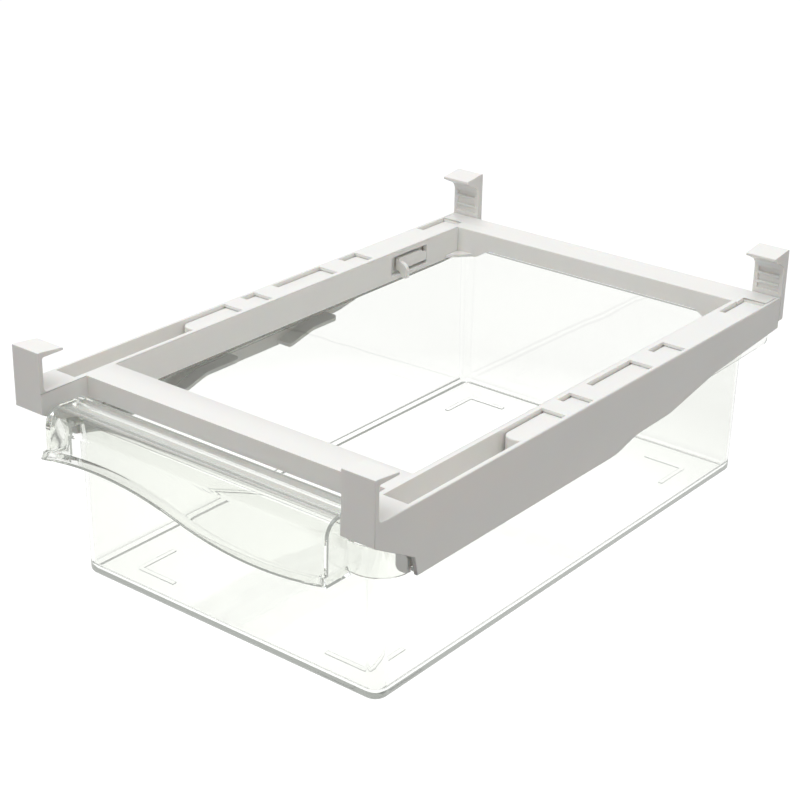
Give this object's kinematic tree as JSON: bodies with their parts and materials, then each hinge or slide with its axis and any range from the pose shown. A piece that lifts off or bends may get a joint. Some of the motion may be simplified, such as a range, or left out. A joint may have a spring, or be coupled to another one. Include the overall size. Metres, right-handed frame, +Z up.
{
  "type": "fridge drawer organizer",
  "caption": "Hanging fridge drawer organizer: a clear drawer with a hooded wavy handle slides in a white extending frame whose hooks grip the edges of a fridge shelf.",
  "frame": {"origin": "centre of the footprint, on the plane the drawer's feet stand on", "axes": "+Z up, -Y towards the handle, +X to the right seen from the handle"},
  "size_m": [0.205, 0.3278, 0.1221],
  "materials": {
    "frame_white": "satin white ABS",
    "drawer_clear": "clear polished polystyrene"
  },
  "bodies": {
    "front_frame": {"front_frame": "frame_white"},
    "rear_frame": {"rear_frame": "frame_white"},
    "rear_hook_left": {"rear_hook_left": "frame_white"},
    "rear_hook_right": {"rear_hook_right": "frame_white"},
    "latch_left": {"latch_left": "frame_white"},
    "latch_right": {"latch_right": "frame_white"},
    "drawer": {"drawer": "drawer_clear"}
  },
  "joints": [
    {"name": "drawer_slide", "type": "slide", "parent": "front_frame", "child": "drawer", "axis": [0, -1, 0], "range_m": [0, 0.19]},
    {"name": "frame_extension", "type": "slide", "parent": "front_frame", "child": "rear_frame", "axis": [0, 1, 0], "range_m": [0, 0.1]},
    {"name": "rear_hook_left_height", "type": "slide", "parent": "rear_frame", "child": "rear_hook_left", "axis": [0, 0, 1], "range_m": [-0.005, 0.003]},
    {"name": "rear_hook_right_height", "type": "slide", "parent": "rear_frame", "child": "rear_hook_right", "axis": [0, 0, 1], "range_m": [-0.005, 0.003]},
    {"name": "latch_left_flex", "type": "hinge", "parent": "front_frame", "child": "latch_left", "pos_m": [-0.0863, 0.113, 0.0894], "axis": [0, 0, 1], "range_deg": [0, 6], "stiffness_Nm_per_rad": 0.3},
    {"name": "latch_right_flex", "type": "hinge", "parent": "front_frame", "child": "latch_right", "pos_m": [0.0863, 0.113, 0.0894], "axis": [0, 0, -1], "range_deg": [0, 6], "stiffness_Nm_per_rad": 0.3}
  ]
}
